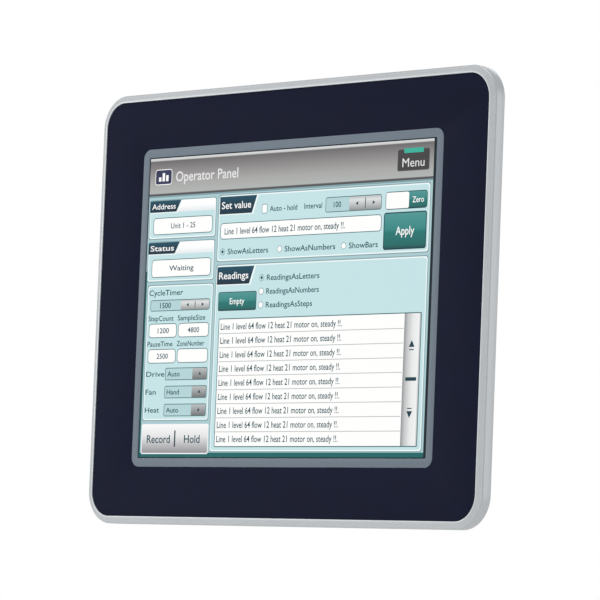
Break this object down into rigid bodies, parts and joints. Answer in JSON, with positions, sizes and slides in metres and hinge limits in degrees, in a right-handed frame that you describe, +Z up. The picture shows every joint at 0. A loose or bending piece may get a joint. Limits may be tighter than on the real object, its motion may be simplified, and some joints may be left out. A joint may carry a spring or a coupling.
{
  "type": "hmi touch panel",
  "caption": "Panel-mount touch screen terminal: rounded silver bezel, navy surround, lit display, stepped steel rear housing with sockets and cabinet clamps.",
  "frame": {"origin": "centre of the panel's bounding box, on the axis through the middle of the screen and the cabinet cut-out", "axes": "+X to the right of someone who faces the screen, +Y from the screen back into the cabinet, +Z up"},
  "size_m": [0.29, 0.0472, 0.229],
  "materials": {
    "satin_silver": "fine satin silver paint on a die-cast frame",
    "navy_overlay": "fine matte navy polyester sheet",
    "grey_border": "smooth satin grey-blue border",
    "touch_film": "smooth clear touch film over the lit picture",
    "clear_glass": "clear polished glass",
    "black_foam": "soft closed-cell foam",
    "seal_rubber": "matte moulded rubber",
    "flex_lead": "amber flexible film with copper tracks",
    "bright_steel": "bright plated sheet steel",
    "dark_cell": "dark polished display glass",
    "white_diffuser": "white diffusing film",
    "light_guide": "clear acrylic sheet",
    "lamp_strip": "white strip with pale yellow lamps",
    "zinc_sheet": "zinc-plated sheet steel, lightly brushed",
    "cover_sheet": "zinc-plated sheet steel, lightly brushed",
    "zinc_screw": "bright zinc-plated steel",
    "clamp_cast": "tumbled die-cast metal",
    "green_board": "green solder mask",
    "black_chip": "matte moulded epoxy",
    "black_sink": "black anodised, satin",
    "black_socket": "matte black moulded plastic",
    "green_plug": "satin green moulded plastic",
    "grey_door": "fine-textured grey moulded plastic",
    "white_lever": "white moulded plastic",
    "brass_stud": "bright turned brass"
  },
  "bodies": {
    "panel": {"front_bezel": "satin_silver", "front_overlay": "navy_overlay", "window_border": "grey_border", "touch_film": "touch_film", "touch_glass": "clear_glass", "touch_gasket": "black_foam", "panel_gasket": "seal_rubber", "touch_tail": "flex_lead", "lcd_front_frame": "bright_steel", "lcd_cell": "dark_cell", "diffuser_sheet": "white_diffuser", "light_guide": "light_guide", "backlight_bar": "lamp_strip", "lcd_rear_tray": "bright_steel", "display_bracket_left": "bright_steel", "display_bracket_right": "bright_steel", "bracket_screw_left": "zinc_screw", "bracket_screw_right": "zinc_screw", "mounting_plate": "bright_steel", "main_board": "green_board", "processor": "black_chip", "heatsink": "black_sink", "battery_holder": "black_socket", "coin_cell": "zinc_screw", "buzzer": "black_socket", "backlight_driver": "green_board", "power_header": "black_socket", "network_port": "bright_steel", "usb_port": "bright_steel", "serial_port_1": "bright_steel", "serial_port_2": "bright_steel", "card_slot": "black_socket", "dip_switch": "black_socket", "reset_switch": "black_socket", "rear_housing": "zinc_sheet", "rear_cover": "cover_sheet", "io_plate": "cover_sheet", "earth_stud": "brass_stud", "clamp_body_1": "clamp_cast", "cover_screw_1": "zinc_screw", "housing_screw_1": "zinc_screw", "clamp_body_2": "clamp_cast", "cover_screw_2": "zinc_screw", "housing_screw_2": "zinc_screw", "clamp_body_3": "clamp_cast", "cover_screw_3": "zinc_screw", "housing_screw_3": "zinc_screw", "clamp_body_4": "clamp_cast", "cover_screw_4": "zinc_screw", "housing_screw_4": "zinc_screw"},
    "power_plug": {"power_plug": "green_plug"},
    "card_door": {"card_door": "grey_door"},
    "dip_lever_1": {"dip_lever_1": "white_lever"},
    "dip_lever_2": {"dip_lever_2": "white_lever"},
    "reset_button": {"reset_button": "white_lever"},
    "clamp_screw_1": {"clamp_screw_1": "zinc_screw"},
    "clamp_screw_2": {"clamp_screw_2": "zinc_screw"},
    "clamp_screw_3": {"clamp_screw_3": "zinc_screw"},
    "clamp_screw_4": {"clamp_screw_4": "zinc_screw"}
  },
  "joints": [
    {"name": "clamp_screw_1_travel", "type": "slide", "parent": "panel", "child": "clamp_screw_1", "axis": [0, -1, 0], "range_m": [0, 0.0052]},
    {"name": "clamp_screw_2_travel", "type": "slide", "parent": "panel", "child": "clamp_screw_2", "axis": [0, -1, 0], "range_m": [0, 0.0052]},
    {"name": "clamp_screw_3_travel", "type": "slide", "parent": "panel", "child": "clamp_screw_3", "axis": [0, -1, 0], "range_m": [0, 0.0052]},
    {"name": "clamp_screw_4_travel", "type": "slide", "parent": "panel", "child": "clamp_screw_4", "axis": [0, -1, 0], "range_m": [0, 0.0052]},
    {"name": "card_door_hinge", "type": "hinge", "parent": "panel", "child": "card_door", "pos_m": [0.074, 0.00155, -0.0786], "axis": [-1, 0, 0], "range_deg": [0, 95]},
    {"name": "power_plug_pull", "type": "slide", "parent": "panel", "child": "power_plug", "axis": [0, 0, -1], "range_m": [0, 0.012]},
    {"name": "reset_button_press", "type": "slide", "parent": "panel", "child": "reset_button", "axis": [-1, 0, 0], "range_m": [0, 0.0006], "stiffness_N_per_m": 600, "springref_m": -0.0015},
    {"name": "dip_lever_1_slide", "type": "slide", "parent": "panel", "child": "dip_lever_1", "axis": [0, 1, 0], "range_m": [0, 0.002]},
    {"name": "dip_lever_2_slide", "type": "slide", "parent": "panel", "child": "dip_lever_2", "axis": [0, 1, 0], "range_m": [0, 0.002]}
  ]
}
